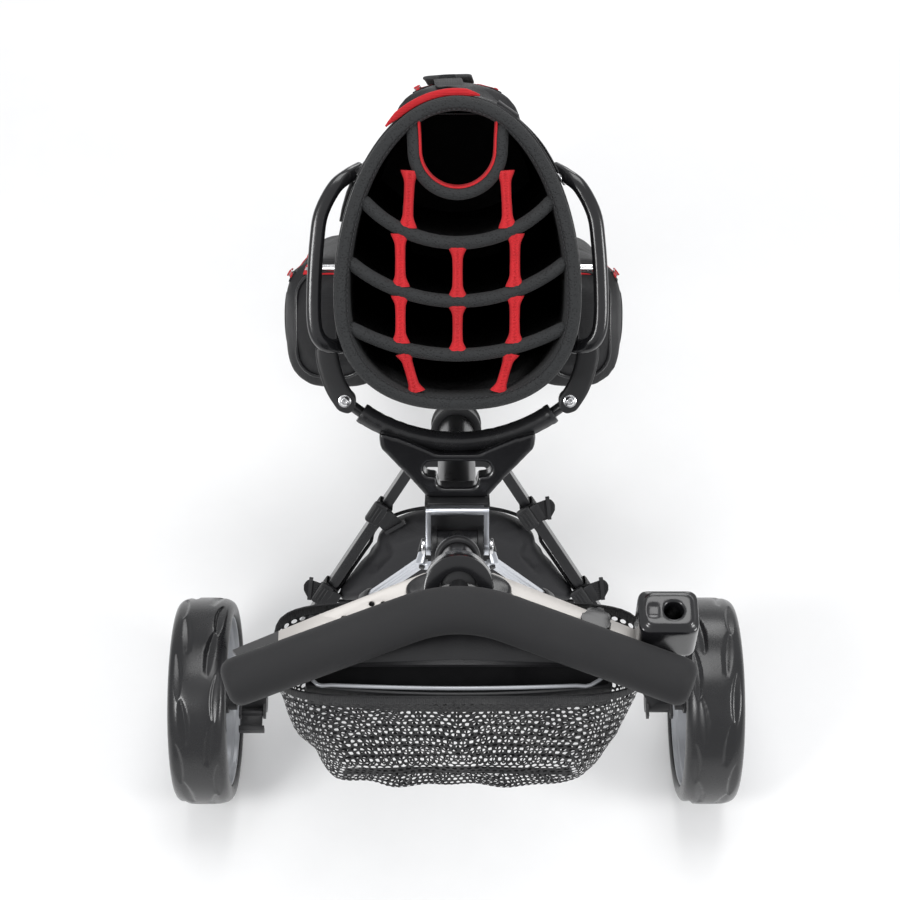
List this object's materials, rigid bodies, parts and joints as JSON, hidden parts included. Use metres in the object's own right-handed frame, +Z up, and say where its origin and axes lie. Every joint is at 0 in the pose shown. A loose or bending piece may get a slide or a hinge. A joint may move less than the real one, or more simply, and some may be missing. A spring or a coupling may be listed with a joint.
{
  "type": "golf bag on push cart",
  "caption": "Golf cart bag with a divided mouth, strapped to a folding push cart with large rear wheels, a small front wheel, a V handle with a console and a net.",
  "frame": {"origin": "on the ground, under the middle of the whole object", "axes": "+Z up, +Y from the handle towards the front wheel, +X to the user's right"},
  "size_m": [0.686, 1.2565, 0.9754],
  "materials": {
    "tube_black": "satin black paint",
    "moulded_black": "fine grained",
    "gloss_black": "glossy",
    "silver_metal": "satin",
    "steel": "bright",
    "tyre_rubber": "smooth with leaf shaped grooves",
    "rim_grey": "satin grey",
    "sleeve_rubber": "glossy",
    "grip_foam": "fine foam",
    "console_grey": "satin warm grey",
    "nylon_black": "woven nylon",
    "nylon_grey": "coated nylon",
    "net_mesh": "open mesh",
    "spacer_mesh": "knitted mesh over foam",
    "red_trim": "stitched webbing",
    "webbing": "flat webbing"
  },
  "bodies": {
    "frame": {"main_tube": "tube_black", "leg_hub": "moulded_black", "leg_pins": "steel", "front_bracket": "moulded_black", "front_fork": "moulded_black", "front_axle": "steel", "lower_bracket": "moulded_black", "lower_bag_strap": "webbing", "hinge_block": "moulded_black", "hinge_pin": "steel", "y_bracket": "moulded_black", "cradle_bar": "tube_black", "cradle_sleeve": "sleeve_rubber", "cradle_rivets": "steel", "upper_bag_strap": "webbing", "leg_pouch": "nylon_grey", "bag_body": "nylon_black", "bag_base": "moulded_black", "bag_cuff": "nylon_black", "divider_bars": "spacer_mesh", "divider_bridges": "red_trim", "putter_well": "spacer_mesh", "lift_handles": "gloss_black", "side_pocket_left": "nylon_black", "side_pocket_right": "nylon_black", "ball_pocket": "nylon_black", "shoulder_strap": "webbing"},
    "front_wheel": {"front_rim": "rim_grey", "front_tyre": "tyre_rubber"},
    "left_leg": {"leg_left": "tube_black", "axle_bracket_left": "rim_grey", "rear_axle_left": "steel", "pouch_straps_left": "webbing"},
    "right_leg": {"leg_right": "tube_black", "axle_bracket_right": "rim_grey", "rear_axle_right": "steel", "pouch_straps_right": "webbing"},
    "left_wheel": {"rear_rim_left": "rim_grey", "rear_tyre_left": "tyre_rubber", "hub_cap_left": "moulded_black"},
    "right_wheel": {"rear_rim_right": "rim_grey", "rear_tyre_right": "tyre_rubber", "hub_cap_right": "moulded_black"},
    "left_release": {"wheel_release_left": "moulded_black"},
    "right_release": {"wheel_release_right": "moulded_black"},
    "left_strut": {"strut_left": "silver_metal"},
    "right_strut": {"strut_right": "silver_metal"},
    "brake": {"brake_pedal": "silver_metal"},
    "latch": {"latch_lever": "silver_metal"},
    "handle": {"handle_tube": "tube_black", "handle_bar": "tube_black", "handle_grip": "grip_foam", "handle_collar": "moulded_black", "console_top": "console_grey", "console_tray": "moulded_black", "umbrella_holder": "moulded_black", "storage_net": "net_mesh"},
    "knob": {"accessory_knob": "moulded_black"},
    "left_tip": {"cradle_tip_left": "moulded_black"},
    "right_tip": {"cradle_tip_right": "moulded_black"}
  },
  "joints": [
    {"name": "front_wheel_spin", "type": "hinge", "parent": "frame", "child": "front_wheel", "pos_m": [0, 0.52825, 0.1], "axis": [1, 0, 0], "continuous": true},
    {"name": "leg_fold", "type": "hinge", "parent": "frame", "child": "left_leg", "pos_m": [-0.045, -0.02319, 0.3644], "axis": [0, -0.7513, 0.66], "range_deg": [0, 26], "deforming": ["leg_pouch"]},
    {"name": "leg_fold_right", "type": "hinge", "parent": "frame", "child": "right_leg", "pos_m": [0.045, -0.02319, 0.3644], "axis": [0, 0.7513, -0.66], "range_deg": [0, 26]},
    {"name": "strut_swing_left", "type": "hinge", "parent": "frame", "child": "left_strut", "pos_m": [-0.0345, -0.30283, 0.59609], "axis": [-0.2654, -0.9549, -0.1331], "range_deg": [0, 16.95]},
    {"name": "strut_swing_right", "type": "hinge", "parent": "frame", "child": "right_strut", "pos_m": [0.0345, -0.30283, 0.59609], "axis": [-0.2654, 0.9549, 0.1331], "range_deg": [0, 16.95]},
    {"name": "rear_wheel_spin_left", "type": "hinge", "parent": "left_leg", "child": "left_wheel", "pos_m": [-0.308, -0.23175, 0.127], "axis": [1, 0, 0], "continuous": true},
    {"name": "rear_wheel_spin_right", "type": "hinge", "parent": "right_leg", "child": "right_wheel", "pos_m": [0.308, -0.23175, 0.127], "axis": [1, 0, 0], "continuous": true},
    {"name": "wheel_release_left_push", "type": "slide", "parent": "left_wheel", "child": "left_release", "axis": [-1, 0, 0], "range_m": [0, 0.003], "stiffness_N_per_m": 800},
    {"name": "wheel_release_right_push", "type": "slide", "parent": "right_wheel", "child": "right_release", "axis": [1, 0, 0], "range_m": [0, 0.003], "stiffness_N_per_m": 800},
    {"name": "brake_press", "type": "hinge", "parent": "left_leg", "child": "brake", "pos_m": [-0.2505, -0.25275, 0.133], "axis": [1, 0, 0], "range_deg": [0, 20]},
    {"name": "latch_lift", "type": "hinge", "parent": "frame", "child": "latch", "pos_m": [0, -0.31927, 0.65313], "axis": [1, 0, 0], "range_deg": [0, 12]},
    {"name": "handle_fold", "type": "hinge", "parent": "frame", "child": "handle", "pos_m": [0, -0.31927, 0.65313], "axis": [-1, 0, 0], "range_deg": [0, 22]},
    {"name": "knob_turn", "type": "hinge", "parent": "handle", "child": "knob", "pos_m": [0.115, -0.54975, 0.9093], "axis": [0, 0, 1], "range_deg": [0, 270]},
    {"name": "cradle_tip_left_swing", "type": "hinge", "parent": "frame", "child": "left_tip", "pos_m": [-0.114, -0.18398, 0.71619], "axis": [0, -0.682, 0.7314], "range_deg": [0, 25]},
    {"name": "cradle_tip_right_swing", "type": "hinge", "parent": "frame", "child": "right_tip", "pos_m": [0.114, -0.18398, 0.71619], "axis": [0, 0.682, -0.7314], "range_deg": [0, 25]}
  ],
  "couplings": [
    {"joint": "leg_fold_right", "follows": "leg_fold", "ratio": 1},
    {"joint": "strut_swing_left", "follows": "leg_fold", "ratio": 0.64996},
    {"joint": "strut_swing_right", "follows": "leg_fold", "ratio": 0.64996}
  ]
}
